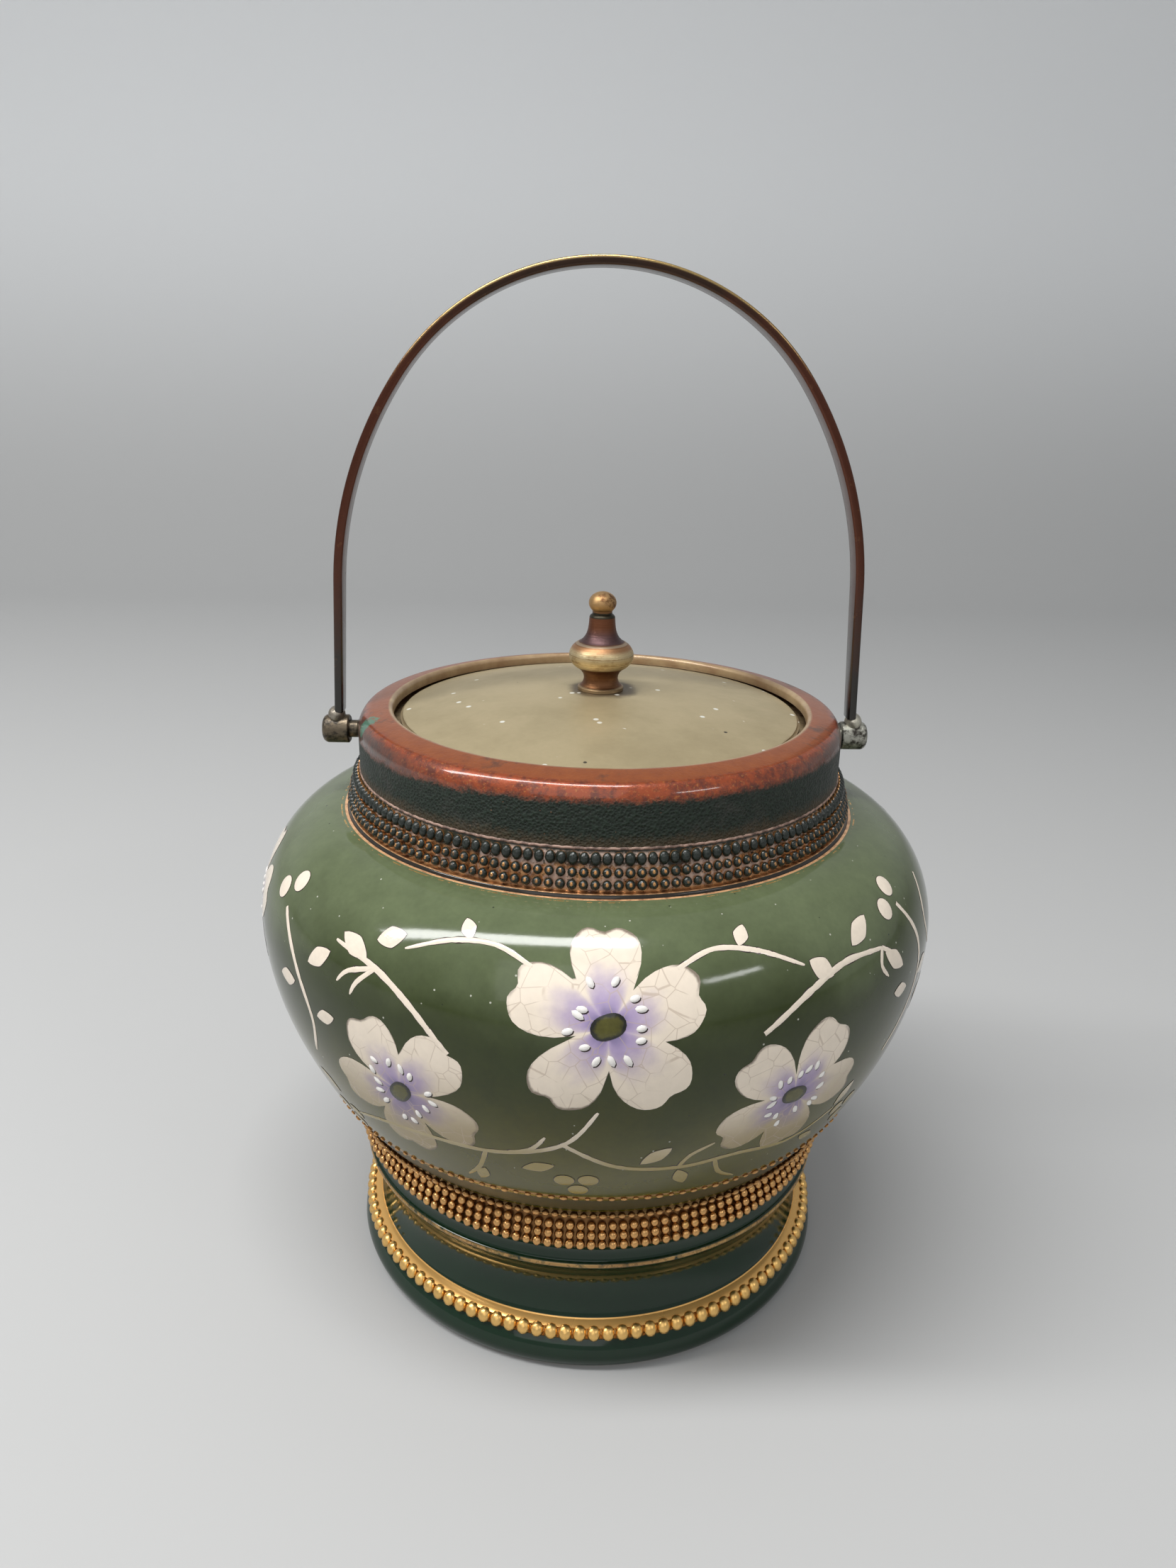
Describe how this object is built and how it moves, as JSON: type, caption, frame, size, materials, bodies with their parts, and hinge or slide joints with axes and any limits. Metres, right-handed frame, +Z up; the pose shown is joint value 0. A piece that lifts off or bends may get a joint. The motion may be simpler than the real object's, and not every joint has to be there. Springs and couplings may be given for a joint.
{
  "type": "biscuit jar",
  "caption": "Bellied glazed earthenware jar on a moulded foot, with beaded bands, a rolled metal collar, a domed lift-off lid with a turned knob, and a swing handle.",
  "frame": {"origin": "on the surface the jar stands on, under the pot's axis", "axes": "+Z up along the pot's axis; X along the handle's hinge line, +X to the right of the flowered front; -Y to the front"},
  "size_m": [0.1682, 0.1682, 0.2499],
  "materials": {
    "glaze": "glossy olive-green glaze with gilt bead bands",
    "plaster": "matt off-white plaster",
    "collar_metal": "tarnished, worn plate over brass",
    "lid_metal": "satin, dulled plate over brass",
    "knob_metal": "turned, polished with brown tarnish",
    "handle_metal": "polished strip with brown tarnish",
    "boss_metal": "dull grey tarnish",
    "pin_metal": "plain turned brass"
  },
  "bodies": {
    "jar": {"jar_body": "glaze", "plaster_bed": "plaster", "collar": "collar_metal", "lid_seat": "collar_metal", "pivot_pin_left": "pin_metal", "pivot_pin_right": "pin_metal"},
    "lid": {"lid_plate": "lid_metal", "lid_skirt": "lid_metal", "knob_foot": "knob_metal", "knob_ring": "knob_metal", "knob_cap": "knob_metal", "knob_stud": "pin_metal", "knob_washer": "pin_metal", "knob_nut": "pin_metal"},
    "bail": {"handle": "handle_metal", "handle_boss_left": "boss_metal", "handle_boss_right": "boss_metal"}
  },
  "joints": [
    {"name": "handle_swing", "type": "hinge", "parent": "jar", "child": "bail", "pos_m": [0, 0, 0.1413], "axis": [1, 0, 0], "range_deg": [-109, 109]},
    {"name": "lid_lift", "type": "slide", "parent": "jar", "child": "lid", "axis": [0, 0, 1], "range_m": [0, 0.045]}
  ]
}
